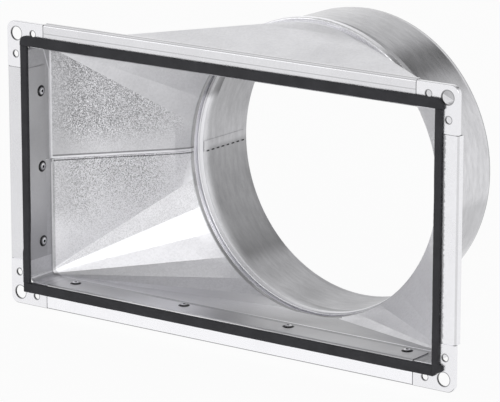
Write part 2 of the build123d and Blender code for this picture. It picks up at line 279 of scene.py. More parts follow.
def band_mask(tree, value, middle, half_width):
    node = use_group(tree, band, Middle=middle, Half_Width=half_width)
    tree.links.new(value, node.inputs["Value"])
    return node.outputs["Mask"]


print("band group nodes", len(band.nodes))

# %% [markdown]
# ## Galvanised metal
# The parts are all zinc-coated steel, but each was worked differently. One material could serve
# them all, and then none would look handled; a tree drawn anew for each would be long. So a small
# class keeps one finish while it is being built. The brightness starts from the crystals and the
# patches, each line below then shades it up or down, and at the end a metal shader gets it with
# its roughness and relief. A mask is a number from 0 to 1, mostly from a place or a normal, and a
# factor acts in full only where all of its masks are 1.

# %% Galvanised finish
zinc_colour = (0.992, 0.990, 1.018)
brightest_zinc = 0.97
grain_height = 0.0002
fold_height = 0.0006


class Zinc:
    def __init__(self, name, crystal_size, crystal_depth, patch_scale, patch_amount, seed):
        self.material = bpy.data.materials.new(name)
        self.material.use_nodes = True
        self.tree = self.material.node_tree
        self.crystal = use_group(
            self.tree, spangle, Scale=1.0 / crystal_size, Depth=crystal_depth, Seed=seed,
        )
        self.patch = use_group(
            self.tree, handling, Scale=patch_scale, Amount=patch_amount, Seed=seed,
        )
        self.place = use_group(self.tree, whereabouts)
        self.kept = {}  # masks that a later step needs again
        self.inside = self.place.outputs["Inside"]
        grain = self.crystal.outputs["Shade"]
        grain = math_node(self.tree, "ADD", grain, self.patch.outputs["Shade"])
        self.level = math_node(self.tree, "ADD", grain, 1.0)

    def multiply(self, share):
        """Multiply the brightness by a number that changes over the surface."""
        self.level = math_node(self.tree, "MULTIPLY", self.level, share)

    def tint(self, outside, inside):
        """Grey of the outside and of the inside of the duct."""
        change = math_node(self.tree, "MULTIPLY", self.inside, inside - outside)
        self.multiply(math_node(self.tree, "ADD", change, outside))

    def shade(self, factor, *masks):
        """Multiply the brightness by the factor where all the masks are 1."""
        change = math_node(self.tree, "MULTIPLY", self.both(*masks), factor - 1.0)
        self.multiply(math_node(self.tree, "ADD", change, 1.0))

    def paint_shading(self, socket, reach, stops, mask):
        """Lay painted light and shade over the mask as greys; each stop is a place between -reach
        and reach, and its grey.
        """
        greys = add_node(self.tree, "ShaderNodeValToRGB")
        greys.color_ramp.interpolation = "EASE"
        while len(greys.color_ramp.elements) < len(stops):
            greys.color_ramp.elements.new(0.5)
        for stop, (place, grey) in zip(greys.color_ramp.elements, stops):
            stop.position = place / (2 * reach) + 0.5
            stop.color = (grey, grey, grey, 1.0)
        along = self.ramp(socket, -reach, reach, 0.0, 1.0)
        along.node.interpolation_type = "LINEAR"
        self.tree.links.new(along, greys.inputs["Fac"])
        change = math_node(self.tree, "SUBTRACT", greys.outputs["Color"], 1.0)
        self.multiply(math_node(self.tree, "ADD", self.both(change, mask), 1.0))

    def both(self, *masks):
        """Product of several masks."""
        product = masks[0]
        for mask in masks[1:]:
            product = math_node(self.tree, "MULTIPLY", product, mask)
        return product

    def above(self, socket, limit):
        return math_node(self.tree, "GREATER_THAN", self.place.outputs[socket], limit)

    def below(self, socket, limit):
        return math_node(self.tree, "LESS_THAN", self.place.outputs[socket], limit)

    def size(self, socket):
        """Number without its sign."""
        return math_node(self.tree, "ABSOLUTE", self.place.outputs[socket])

    def beyond(self, socket, limit):
        return math_node(self.tree, "GREATER_THAN", self.size(socket), limit)

    def within(self, socket, limit):
        return math_node(self.tree, "LESS_THAN", self.size(socket), limit)

    def band(self, socket, middle, half_width):
        return band_mask(self.tree, self.place.outputs[socket], middle, half_width)

    def ramp(self, socket, first, last, first_value, last_value):
        """Number that eases from one value to another between two places."""
        node = add_node(
            self.tree, "ShaderNodeMapRange",
            From_Min=first, From_Max=last, To_Min=first_value, To_Max=last_value,
        )
        node.interpolation_type = "SMOOTHSTEP"
        self.tree.links.new(self.place.outputs[socket], node.inputs["Value"])
        return node.outputs["Result"]

    def outer(self):
        return math_node(self.tree, "SUBTRACT", 1.0, self.inside)

    def finish(self, outside_roughness, inside_roughness, bump, ridge=None):
        """Hand the brightness, the roughness and the relief to the metal shader."""
        shader = self.tree.nodes["Principled BSDF"]
        shader.inputs["Metallic"].default_value = 1.0
        capped = math_node(self.tree, "MINIMUM", self.level, brightest_zinc)
        colour = add_node(self.tree, "ShaderNodeVectorMath")
        colour.operation = "SCALE"
        colour.inputs[0].default_value = zinc_colour
        self.tree.links.new(capped, colour.inputs["Scale"])
        self.tree.links.new(colour.outputs[0], shader.inputs["Base Color"])
        change = inside_roughness - outside_roughness
        rough = math_node(self.tree, "MULTIPLY", self.inside, change)
        rough = math_node(self.tree, "ADD", rough, outside_roughness)
        rough = math_node(self.tree, "ADD", rough, self.patch.outputs["Dullness"])
        self.tree.links.new(rough, shader.inputs["Roughness"])
        relief = add_node(self.tree, "ShaderNodeBump", Strength=bump, Distance=grain_height)
        self.tree.links.new(self.crystal.outputs["Height"], relief.inputs["Height"])
        if ridge is not None:
            fold = add_node(self.tree, "ShaderNodeBump", Strength=1.0, Distance=fold_height)
            self.tree.links.new(ridge, fold.inputs["Height"])
            self.tree.links.new(fold.outputs["Normal"], relief.inputs["Normal"])
        self.tree.links.new(relief.outputs["Normal"], shader.inputs["Normal"])
        print(self.material.name, "nodes", len(self.tree.nodes))
        return self.material


# %% [markdown]
# ## Body shells
# The two shells are cut from one coil and folded. Their inside greys are painted light: the lower
# one is given a brighter grey inside for the light that falls in at the mouth, and the upper one a
# darker one. Two full recipes would say nearly everything twice, so both finishes are started here
# and the next cells add one feature at a time to both.

# %% Body sheets
body_grain = {
    "crystal_size": 0.0017, "crystal_depth": 0.07, "patch_scale": 22.0, "patch_amount": 0.16,
}
upper_sheet = Zinc("body_upper_sheet", **body_grain, seed=1.0)
lower_sheet = Zinc("body_lower_sheet", **body_grain, seed=1.5)
# the inside greys are painted light and shade, brighter in the lower shell
upper_sheet.tint(outside=0.80, inside=0.76)
lower_sheet.tint(outside=0.78, inside=0.95)
body_sheets = (upper_sheet, lower_sheet)
print("body finishes", [sheet.material.name for sheet in body_sheets])

# %% [markdown]
# ### Side panels
# The panels beside the duct stay flat, so they keep the dimples and glints that folding presses
# out of the facets. A painted mask could mark them, but the geometry knows them already: they are
# the faces behind the crease that point straight sideways. The dimples are darkened as painted
# shade and the glints brightened as painted highlights. The grain fades towards the collar, the
# neck and one edge of each shell, and gathers where the handling patches are bright. Close behind
# the crease the panel gets painted shade.

# %% Side panels
panels_start = 0.0310
upright = 0.05  # an upright face's normal rises less than this
clusters_per_dullness = -8.0
for sheet, fade_heights, fade_shares in (
    (upper_sheet, (0.004, 0.032), (0.12, 1.0)),
    (lower_sheet, (-0.080, -0.008), (0.25, 1.15)),
):
    side_panel = sheet.both(
        sheet.within("Normal Height", upright), sheet.above("Depth", panels_start),
    )
    clusters = sheet.patch.outputs["Dullness"]
    clusters = math_node(sheet.tree, "MULTIPLY", clusters, clusters_per_dullness)
    clusters = math_node(sheet.tree, "ADD", clusters, 1.0)
    edge_fading = sheet.ramp("Height", *fade_heights, *fade_shares)
    neck_fading = sheet.ramp("Depth", 0.085, 0.118, 1.0, 0.35)
    collar_fading = sheet.ramp("Depth", 0.034, 0.048, 0.5, 1.0)
    speckled = sheet.both(side_panel, edge_fading, neck_fading, collar_fading, clusters)
    dimples = sheet.both(speckled, sheet.crystal.outputs["Dimples"])
    # painted shade in the dimples, painted highlights on the glints
    sheet.shade(0.44, dimples)
    sheet.shade(1.34, speckled, sheet.crystal.outputs["Painted Glints"])
    # slight painted shade on the lower panels inside, and more close behind the crease
    sheet.shade(0.99, sheet.below("Height", 0.0), side_panel, sheet.inside)
    beside_crease = sheet.both(
        sheet.ramp("Depth", 0.034, 0.062, 1.0, 0.0),
        sheet.ramp("Height", -0.062, -0.040, 0.0, 1.0),
    )
    sheet.shade(0.78, side_panel, sheet.inside, beside_crease)
    sheet.kept.update(side_panel=side_panel, dimples=dimples)
    print(sheet.material.name, "with side panels, nodes", len(sheet.tree.nodes))

# %% [markdown]
# ### Collar and crease
# The collar sits deep in the flange. Painted shade darkens it inside, most of all its floor at the
# right, and painted light brightens its low corner at the side walls. Behind it runs the rolled
# crease: its lower half gets painted shade, and its upper half a painted highlight that slants
# forwards near the corner. The solid has a straight crease, and a slanting one would need another
# loft, so the slant is a band round a depth that shrinks with the height.

# %% Collar and crease
collar_end = 0.0290
side_walls = 0.19
low_corner = -0.082
slant_start, slant = 0.076, 0.35
for sheet in body_sheets:
    collar = sheet.both(sheet.inside, sheet.below("Depth", collar_end))
    side_wall = sheet.beyond("Across", side_walls)
    # painted shade inside the collar, painted light at its low corner, more painted shade on its
    # floor
    sheet.shade(0.68, collar)
    sheet.shade(1.22, collar, side_wall, sheet.below("Height", low_corner))
    collar_floor = sheet.both(collar, sheet.above("Normal Height", 0.9))
    rightwards = sheet.ramp("Across", -0.01, 0.04, 0.0, 1.0)
    sheet.shade(0.62, collar_floor, rightwards)
    # painted shade on the lower half of the crease
    shaded_crease = sheet.band("Depth", 0.0303, 0.0022)
    sheet.shade(0.66, side_wall, sheet.below("Height", 0.0), shaded_crease)
    # painted highlight on the upper half of the crease, slanting near the corner
    over = math_node(sheet.tree, "SUBTRACT", sheet.place.outputs["Height"], slant_start)
    over = math_node(sheet.tree, "MAXIMUM", over, 0.0)
    forwards = math_node(sheet.tree, "MULTIPLY", over, slant)
    crease = math_node(sheet.tree, "ADD", sheet.place.outputs["Depth"], forwards)
    crease_highlight = band_mask(sheet.tree, crease, 0.0287, 0.0010)
    sheet.shade(1.5, side_wall, sheet.above("Height", 0.0), crease_highlight)
    print(sheet.material.name, "with the collar, nodes", len(sheet.tree.nodes))

# %% [markdown]
# ### Lock seam
# Where the shells hook into each other, a dark gap runs over a bright folded edge, with a soft
# shadow below. The solids have the gap, but light hardly finds it at this size, so three bands of
# height paint it: painted shade in the gap, a painted highlight on the fold and a painted shadow
# below. The fold stands proud and the dimples are sunk, and both also go into the relief.

# %% Lock seam
# painted shade in the gap, painted shadow below it, painted highlight on the fold
seam_lines = (  # height, half width, shade
    (0.0026, 0.0007, 0.50),
    (-0.0013, 0.0008, 0.60),
    (0.0005, 0.0019, 1.45),
)
fold_line = (0.0002, 0.0024)
dimple_depth = 0.14
for sheet in body_sheets:
    seam_side = sheet.both(sheet.inside, sheet.kept["side_panel"])
    for height, half_width, factor in seam_lines:
        sheet.shade(factor, seam_side, sheet.band("Height", height, half_width))
    fold = sheet.both(seam_side, sheet.band("Height", *fold_line))
    sunk = math_node(sheet.tree, "MULTIPLY", sheet.kept["dimples"], dimple_depth)
    sheet.kept["relief"] = math_node(sheet.tree, "SUBTRACT", fold, sunk)
    print(sheet.material.name, "with the seam, nodes", len(sheet.tree.nodes))

# %% [markdown]
# ### Neck
# Outside, the round neck gets a painted highlight, and the facets before it get a painted shadow
# of the spigot's bead. Inside, a painted shadow line runs where the facets end at the neck,
# fainter at the right. A groove in the solid could make it too, but a band of depth is enough.

# %% Neck
neck_start = 0.1205
facets_end = (0.1236, 0.0026)
for sheet in body_sheets:
    outer = sheet.outer()
    # painted highlight on the outside of the neck
    sheet.shade(1.22, outer, sheet.above("Depth", neck_start))
    # painted shadow line where the facets end at the neck
    neck_line = sheet.both(sheet.inside, sheet.band("Depth", *facets_end))
    fainter = sheet.ramp("Across", 0.02, 0.10, 1.0, 0.6)
    sheet.shade(0.50, neck_line, fainter)
    # painted shadow of the spigot's bead on the facets before it
    under_bead = sheet.both(
        sheet.ramp("Across", -0.01, 0.05, 0.0, 1.0),
        sheet.ramp("Depth", 0.095, 0.117, 0.0, 1.0),
    )
    sheet.shade(0.76, under_bead, outer, sheet.below("Depth", neck_start))
    print(sheet.material.name, "with the neck, nodes", len(sheet.tree.nodes))

# %% [markdown]
# ### Pressed facets
# Each corner is a fan of flat facets, from steep to almost level. They mirror different parts of
# the room, more of them than a plain studio holds, so some get a painted reflection of their own,
# lighter or darker, and the steep ones darker dimples as painted shade. How far a normal has
# turned up tells them apart, and no face needs to be picked. The floor panel gets painted shade
# towards the right.

# %% Pressed facets
steep_rise, steep_spread = 0.20, 0.06
slight_rise, slight_spread = 0.91, 0.04
flat_rise = 0.95
# each factor below is painted reflection or painted shade on a fan of facets or the floor panel
for sheet, corner_shade in ((upper_sheet, 1.0), (lower_sheet, 0.68)):
    low_left = sheet.both(
        sheet.inside, sheet.below("Height", 0.0), sheet.below("Across", 0.0),
    )
    folded = sheet.both(
        sheet.above("Normal Height", 0.5), sheet.below("Normal Height", flat_rise),
    )
    near_left = sheet.ramp("Across", -0.190, -0.085, 1.0, 0.25)
    sheet.shade(corner_shade, low_left, folded, near_left)
    steep = sheet.both(low_left, sheet.band("Normal Height", steep_rise, steep_spread))
    sheet.shade(0.84, steep)
    sheet.shade(0.78, steep, sheet.crystal.outputs["Dimples"])
    sheet.shade(1.25, low_left, sheet.band("Normal Height", slight_rise, slight_spread))
    right = sheet.both(sheet.inside, sheet.above("Across", 0.0))
    sheet.shade(0.85, right, sheet.band("Normal Height", slight_rise, 0.05))
    flat = sheet.both(sheet.above("Normal Height", flat_rise), sheet.inside)
    floor_panel = sheet.both(flat, sheet.above("Depth", panels_start))
    rightwards = sheet.ramp("Across", -0.06, 0.05, 0.0, 1.0)
    sheet.shade(0.47, floor_panel, rightwards)
    print(sheet.material.name, "with the facets, nodes", len(sheet.tree.nodes))

body_upper_sheet, body_lower_sheet = (
    sheet.finish(0.34, 0.44, bump=0.24, ridge=sheet.kept["relief"]) for sheet in body_sheets
)

# %% [markdown]
# ## Spigot
# The spigot is rolled from the same coil, and the rolls leave it smoother, with faint streaks. Its
# inside takes a brighter grey than its outside, painted light. Its channel at the neck gets a
# painted highlight, and painted shade darkens its lower front, a spot high on its left inside, a
# band round its outside and its crown. The plain tube behind the channel shows broad stripes
# inside, reflections of the room. They could come from the room alone, but it would need a lamp or
# a card for each, so they are painted reflection: greys laid over the tube's height. Its cut end
# is dark. The spot welds of the lap seam are burnt; they stand proud of the lap, so the distance
# from the middle finds them.

# %% Spigot finish
channel_end = 0.1372
tube_start, front_end = 0.1368, 0.1500
cut_end = 0.1990
low_quarter = -0.06
grain_stretch = (0.3, 1.0, 0.3)
welds_start, weld_radius = 0.141, 0.12293
streak_strength = 0.50
tube_painted_shading = (
    (-0.122, 0.62), (-0.110, 0.86), (-0.100, 0.90), (-0.088, 0.50),
    (-0.030, 0.40), (-0.004, 0.44), (0.001, 0.60), (0.060, 0.47),
)
zinc = Zinc(
    "spigot_sheet",
    crystal_size=0.0015, crystal_depth=0.03, patch_scale=24.0, patch_amount=0.20, seed=2.0,
)
tree = zinc.tree
# the inside's brighter grey is painted light
zinc.tint(0.67, 0.85)
outer = zinc.outer()
front = zinc.both(zinc.inside, zinc.below("Depth", front_end))
# painted highlight on the channel at the neck
zinc.shade(1.45, zinc.below("Depth", channel_end))
# painted shade: lower front, a spot high on the left inside, a band round the outside, the crown
low_front = zinc.both(front, zinc.below("Height", low_quarter))
zinc.shade(0.72, low_front, zinc.ramp("Across", -0.04, 0.0, 0.0, 1.0))
zinc.shade(0.42, front, zinc.below("Across", 0.0), zinc.band("Height", 0.062, 0.022))
zinc.shade(0.80, outer, zinc.band("Height", -0.043, 0.030))
crown = zinc.ramp("Height", 0.108, 0.122, 0.0, 1.0)
zinc.shade(0.86, outer, zinc.above("Depth", channel_end), crown)
zinc.shade(0.50, outer, zinc.above("Depth", cut_end))
welds = zinc.both(zinc.above("Depth", welds_start), zinc.below("Radius", weld_radius))
zinc.shade(0.12, welds, zinc.inside)
# painted reflection of the room as broad stripes inside the tube
tube_inside = zinc.both(zinc.ramp("Depth", tube_start, front_end, 0.0, 1.0), zinc.inside)
zinc.paint_shading("Height", 0.125, tube_painted_shading, tube_inside)
stretch = add_node(tree, "ShaderNodeMapping", Scale=grain_stretch)
streaks = add_node(tree, "ShaderNodeTexNoise", Scale=240.0, Detail=4.0, Roughness=0.65)
coordinates = add_node(tree, "ShaderNodeTexCoord")
tree.links.new(coordinates.outputs["Object"], stretch.inputs["Vector"])
tree.links.new(stretch.outputs["Vector"], streaks.inputs["Vector"])
streak = math_node(tree, "SUBTRACT", streaks.outputs["Fac"], 0.5)
streak = math_node(tree, "MULTIPLY", streak, streak_strength)
zinc.multiply(math_node(tree, "ADD", streak, 1.0))
spigot_sheet = zinc.finish(0.24, 0.42, bump=0.05)

# %% [markdown]
# ## Flange strips
# The slip-on strips are roll-formed from bright satin strip. Each strip takes greys of its own,
# outside and inside, which are painted light for how the light reaches it. Light catches their
# bends differently, so the bends are painted: on the top strip one bend gets a painted highlight,
# on the bottom one a bend gets painted deep shade and the other a painted highlight, and the side
# strips' bends get painted shade. A bend is found by how far its normal has turned from the flat
# face, and a sawn end, darkened as painted shade for the gap beside the corner, by a normal that
# points along the strip. The legs inside the duct carry painted shading in soft greys, the top
# strip has three thin lines of painted shade along its rim, and the right one carries a painted
# reflection and shadow of the foam beside it. Four trees by hand would drift apart, so one
# function makes all four and each says only what differs.

# %% Strip finish
flange_front = -0.15
end_face = 0.6
face_sheet = 0.002
bend_turn, bend_spread = 0.6, 0.40
strip_reach = 0.2
reflection_raggedness = 0.0012
flat_up = ("Normal Height", 0.8)
facing_up = ("Normal Height", -0.1)


def strip_finish(
    name, outside, inside, along, across, turn, bend_factor, seed,
    bright_bend=1.0, lines=(), foam_reflection=None, leg_painted_shading=(),
):
    """Finish of one strip, from the axes along and across it and how far the first bend turns.

    A line is a socket, its middle and half width, the side that carries it, and a factor; each
    line is painted shade. The foam's painted reflection is a middle and a half width across. The
    painted shading is laid over the leg inside the duct.
    """
    zinc = Zinc(
        name,
        crystal_size=0.0016, crystal_depth=0.03, patch_scale=18.0, patch_amount=0.16, seed=seed,
    )
    zinc.tint(outside, inside)
    # sawn ends darkened as painted shade, darkest in the gap beside the face
    sawn_end = zinc.beyond("Normal " + along, end_face)
    zinc.shade(0.45, sawn_end)
    zinc.shade(0.20, sawn_end, zinc.below("Depth", face_sheet))
    # bends: a painted highlight or painted shade, set for each strip
    forward = zinc.below("Normal Depth", flange_front)
    other_turn = math.copysign(bend_turn, -turn)
    zinc.shade(bend_factor, forward, zinc.band("Normal " + across, turn, bend_spread))
    zinc.shade(bright_bend, forward, zinc.band("Normal " + across, other_turn, bend_spread))
    # painted shading in greys along the leg inside the duct
    if leg_painted_shading:
        zinc.paint_shading(along, strip_reach, leg_painted_shading, zinc.inside)
    # thin lines of painted shade
    for socket, middle, half_width, side, factor in lines:
        zinc.shade(factor, zinc.above(*side), zinc.band(socket, middle, half_width))
    # painted reflection and shadow of the foam, with a ragged edge
    if foam_reflection is not None:
        wander = math_node(zinc.tree, "SUBTRACT", zinc.crystal.outputs["Height"], 1.0)
        wander = math_node(zinc.tree, "MULTIPLY", wander, reflection_raggedness)
        ragged = math_node(zinc.tree, "ADD", zinc.place.outputs["Across"], wander)
        zinc.shade(0.50, forward, band_mask(zinc.tree, ragged, *foam_reflection))
    return zinc.finish(0.26, 0.38, bump=0.10)


# each strip's outside and inside greys are painted light, set apart for how light reaches it
strip_finishes = {
    "top": strip_finish(
        "strip_top_zinc", outside=0.77, inside=0.60, along="Across", across="Height",
        turn=0.6, bend_factor=1.26, seed=3.0,
        lines=(
            ("Depth", 0.0034, 0.0013, flat_up, 0.60),
            ("Depth", 0.0080, 0.0010, flat_up, 0.72),
            ("Height", 0.1128, 0.0005, facing_up, 0.74),
        ),
    ),
    "bottom": strip_finish(
        "strip_bottom_zinc", outside=0.97, inside=0.96, along="Across", across="Height",
        turn=-0.7, bend_factor=0.30, seed=3.2, bright_bend=1.3,
        leg_painted_shading=((-0.14, 0.56), (-0.055, 0.96), (0.0, 0.66), (0.06, 0.50)),
    ),
    "left": strip_finish(
        "strip_left_zinc", outside=0.75, inside=0.62, along="Height", across="Across",
        turn=-0.7, bend_factor=0.80, seed=3.4,
        leg_painted_shading=((-0.095, 1.0), (-0.073, 0.86), (-0.038, 1.0), (0.03, 0.78)),
    ),
    "right": strip_finish(
        "strip_right_zinc", outside=0.88, inside=0.60, along="Height", across="Across",
        turn=0.7, bend_factor=0.80, seed=3.6, foam_reflection=(0.2072, 0.0018),
    ),
}

# %% [markdown]
# ## Corner pieces
# The stamped corners are the brightest zinc. The edge under their lower bend gets painted shade,
# and their punched holes get dark walls with a thin dark rim, painted shade for the holes' depth.
# The walls could be picked face by face, but all four corners have the same three holes, so the
# distance from a hole's middle finds them, measured without the signs of the place.

# %% Corner finish
zinc = Zinc(
    "corner_zinc",
    crystal_size=0.0016, crystal_depth=0.02, patch_scale=18.0, patch_amount=0.05, seed=4.0,
)
tree = zinc.tree
zinc.tint(0.88, 0.88)
# painted shade under the lower bend
forward = zinc.below("Normal Depth", flange_front)
zinc.shade(0.35, forward, zinc.band("Normal Height", -0.7, 0.45))
sideways = zinc.within("Normal Depth", 0.5)
corner_holes = [  # middle across and in height, radius of the dark wall, shade of the rim
    (0.2100, 0.1100, 0.0056, 0.35),
    (0.1928, 0.1110, 0.0029, 0.40),
    (0.2110, 0.0928, 0.0029, 0.40),
]
rim_width = 0.0007
# painted shade on the hole walls and their rims
for across, height, rim, rim_shade in corner_holes:
    squares = []
    for socket, centre in (("Across", across), ("Height", height)):
        apart = math_node(tree, "SUBTRACT", zinc.size(socket), centre)
        squares.append(math_node(tree, "MULTIPLY", apart, apart))
    hole_distance = math_node(tree, "SQRT", math_node(tree, "ADD", *squares))
    zinc.shade(0.10, sideways, math_node(tree, "LESS_THAN", hole_distance, rim))
    zinc.shade(rim_shade, band_mask(tree, hole_distance, rim, rim_width))
corner_zinc = zinc.finish(0.26, 0.26, bump=0.08)

# %% [markdown]
# ## Rivets
# A rivet's head is bright, but dark where it meets the wall. Real contact shadow at this size is
# lost in the blur of the picture, so a thin band darkens it, round the height or the distance
# across at which the walls lie.

# %% Rivet finish
zinc = Zinc(
    "rivet_zinc",
    crystal_size=0.0008, crystal_depth=0.02, patch_scale=60.0, patch_amount=0.06, seed=5.0,
)
zinc.tint(0.95, 0.95)
wall_depth = 0.0016
side_base, level_base = (
    band_mask(zinc.tree, zinc.size(socket), wall, wall_depth)
    for socket, wall in (("Across", 0.1994), ("Height", 0.0994))
)
# painted contact shadow where the heads meet the wall
zinc.shade(0.05, math_node(zinc.tree, "MAXIMUM", side_base, level_base))
rivet_zinc = zinc.finish(0.28, 0.28, bump=0.04)

# %% [markdown]
# ## Dress the solids
# Each solid now takes its finish. They could be clicked one by one, but the names of the nodes
# say what they are, so the start of a name is enough to choose by.

# %% Dress the solids
finish_of = {
    "body_upper_shell": body_upper_sheet,
    "body_lower_shell": body_lower_sheet,
    "spigot": spigot_sheet,
    "corner_piece": corner_zinc,
    "rivets": rivet_zinc,
}
for side, material in strip_finishes.items():
    finish_of["flange_strip_" + side] = material
for name, node in nodes.items():
    for start, material in finish_of.items():
        if name.startswith(start):
            node.data.materials.clear()
            node.data.materials.append(material)
            print(name, "gets", material.name)

# %% [markdown]
# ## Foam gasket
# The black seal on the flange is closed-cell foam tape, 3 mm thick, cut by hand and stuck down as
# four strips. Its long edges are a little rounded, its sides bulge, and its width wanders by a
# few tenths of a millimetre. A bevelled box with a displacement would wander too, but its ends
# couldn't be cut to shape. So each strip is lofted from many cross-sections along its length, all
# of it in one small function, and the plain solid it stands for is then hidden.

# %% Foam strip shape
tape_thickness = 0.003
edge_round = 0.0006
side_bulge = 0.00012
top_swell = 0.00008
section_spacing = 0.0012
wanders = ((0.00016, 45.0), (0.00008, 400.0))  # how far an edge wanders, and turns per metre
between_edges = 7.0  # step in the noise, so that the two edges wander apart


def tape_section(left, right):
    """Points of one cross-section, from the stuck-down left edge over the top to the right."""
    points = [
        (left, 0.0),
        (left - side_bulge, 0.4 * tape_thickness),
        (left, tape_thickness - edge_round),
    ]
    for degrees in (30, 60, 90):
        turn = math.radians(degrees)
        points.append((
            left + edge_round * (1 - math.cos(turn)),
            tape_thickness - edge_round * (1 - math.sin(turn)),
        ))
    points.append(((left + right) / 2, tape_thickness + top_swell))
    mirrored = [(left + right - across, up) for across, up in reversed(points[:-1])]
    return points + mirrored


def foam_strip(name, level, start, end, low_edge, high_edge, seed):
    """Strip between two ends; each edge is a function of the place along the strip."""
    mesh = bmesh.new()
    count = max(2, round((end - start) / section_spacing))
    rings = []
    for step in range(count + 1):
        place = start + (end - start) * step / count
        edges = []
        for side, edge in enumerate((low_edge, high_edge)):
            wander = sum(
                width * noise.noise(Vector((place * pace, side * between_edges, seed)))
                for width, pace in wanders
            )
            edges.append(edge(place) + wander)
        ring = []
        for across, up in tape_section(*edges):
            spot = (place, -up, across) if level else (across, -up, place)
            ring.append(mesh.verts.new(spot))
        rings.append(ring)
    for first, second in zip(rings, rings[1:]):
        for k in range(len(first) - 1):
            mesh.faces.new((first[k], second[k], second[k + 1], first[k + 1]))
        mesh.faces.new((first[-1], second[-1], second[0], first[0]))
    mesh.faces.new(rings[0])
    mesh.faces.new(rings[-1])
    bmesh.ops.recalc_face_normals(mesh, faces=mesh.faces)
    data = bpy.data.meshes.new(name)
    mesh.to_mesh(data)
    mesh.free()
    data.polygons.foreach_set("use_smooth", [True] * len(data.polygons))
    piece = bpy.data.objects.new(name, data)
    bpy.context.scene.collection.objects.link(piece)
    return piece


print("points in a section", len(tape_section(0.0, 0.008)))

# %% [markdown]
# ### The four strips
# They take their limits from the solids that they replace: low and high are always the corners of
# the box of the solid in hand. The top strip runs over both side strips: its left corner is
# rounded and its right one snipped off beside the bolt hole. The left strip was pressed a little
# outwards at its lower end. The right one was stuck down narrower. It runs down past the bottom
# strip, where it is snipped too and keeps a torn tag of foam. Each of these is what it adds to or
# takes off an edge, so they can be summed, which sculpting by hand can't do.

# %% Foam strips
corner_cut = 0.004
pressed_out = 0.0007
squeezed_in = 0.0012
tag_reach, tag_start, tag_end = 0.0028, 0.0042, 0.0086
tears_per_metre = 1500.0


def rounding(distance, radius):
    """What a rounded corner takes off an edge, at a distance from the end of the strip."""
    return radius - math.sqrt(radius**2 - min(max(radius - distance, 0.0), radius) ** 2)


def snip(distance, size):
    """What a straight cut across the corner takes off an edge."""
    return max(size - distance, 0.0)


def stretch_of(place, first, last, ramp):
    """1 between two places, falling to 0 over the ramp beyond each."""
    beyond = max(first - place, place - last, 0.0)
    return max(1.0 - beyond / ramp, 0.0)


def cut_corners(place):
    """Upper edge of the top strip, with its left corner rounded and its right one snipped."""
    return high.z - rounding(place - low.x, corner_cut) - snip(high.x - place, corner_cut)


def torn_edge(place):
    """Right edge of the right strip, with the torn tag near its lower end."""
    torn = 0.9 + 0.5 * noise.noise(Vector((place * tears_per_metre, 3.0, 9.0)))
    tag = (tag_reach + squeezed_in) * min(torn, 1.0)
    tag *= stretch_of(place, low.z + tag_start, low.z + tag_end, 0.0012)
    return high.x - tag_reach - squeezed_in + tag - snip(place - low.z, corner_cut)


low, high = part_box("gasket_top")
foam_top = foam_strip(
    "foam_top", True, low.x, high.x, lambda place: low.z, cut_corners, seed=1.0,
)
low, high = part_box("gasket_bottom")
foam_bottom = foam_strip(
    "foam_bottom", True, low.x, high.x, lambda place: low.z, lambda place: high.z, seed=2.0,
)
low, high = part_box("gasket_left")
foam_left = foam_strip(
    "foam_left", False, low.z, high.z,
    lambda place: low.x - pressed_out * stretch_of(place, low.z, low.z + 0.026, 0.003),
    lambda place: high.x - pressed_out * stretch_of(place, low.z, low.z + 0.034, 0.02), seed=3.0,
)
low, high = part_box("gasket_right")
foam_right = foam_strip(
    "foam_right", False, low.z, high.z, lambda place: low.x, torn_edge, seed=4.0,
)
print("foam strips cut")

# %% [markdown]
# ### Foam finish
# The foam is a dull near-black with fine pores, and dust has greyed it here and there. Real pores
# would be millions of faces, so they are only a bump. Each strip then takes the place of its
# solid: it takes the foam's finish, rides on the root body, and the solid is hidden.

# %% Foam finish
foam_finish = bpy.data.materials.new("black_foam")
foam_finish.use_nodes = True
tree = foam_finish.node_tree
shader = tree.nodes["Principled BSDF"]
shader.inputs["Specular IOR Level"].default_value = 0.25
coordinates = add_node(tree, "ShaderNodeTexCoord")
pores = add_node(tree, "ShaderNodeTexVoronoi", Scale=2600.0)
dust = add_node(tree, "ShaderNodeTexNoise", Scale=60.0, Detail=6.0, Roughness=0.7)
tree.links.new(coordinates.outputs["Object"], pores.inputs["Vector"])
tree.links.new(coordinates.outputs["Object"], dust.inputs["Vector"])
shade = add_node(tree, "ShaderNodeValToRGB")
clean, dusty = shade.color_ramp.elements
clean.position, clean.color = 0.35, (0.038, 0.038, 0.042, 1.0)
dusty.position, dusty.color = 0.75, (0.058, 0.058, 0.064, 1.0)
tree.links.new(dust.outputs["Fac"], shade.inputs["Fac"])
tree.links.new(shade.outputs["Color"], shader.inputs["Base Color"])
rough = math_node(tree, "MULTIPLY", dust.outputs["Fac"], 0.2)
rough = math_node(tree, "ADD", rough, 0.7)
tree.links.new(rough, shader.inputs["Roughness"])
relief = add_node(tree, "ShaderNodeBump", Strength=0.35, Distance=0.0001)
tree.links.new(pores.outputs["Distance"], relief.inputs["Height"])
tree.links.new(relief.outputs["Normal"], shader.inputs["Normal"])

for piece, node in (
    (foam_top, "gasket_top"),
    (foam_bottom, "gasket_bottom"),
    (foam_left, "gasket_left"),
    (foam_right, "gasket_right"),
):
    piece.data.materials.append(foam_finish)
    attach(piece, "root")
    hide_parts(node)
    print(piece.name, "faces", len(piece.data.polygons))

# %% [markdown]
# ## The stage
# The floor is a plain pale sheet of paper that keeps the object's soft shadow. More light would
# make it white, but also bleach the metal. So the whiteness is given only to what the camera sees
# and to what the metal mirrors, by the kind of ray that asks.

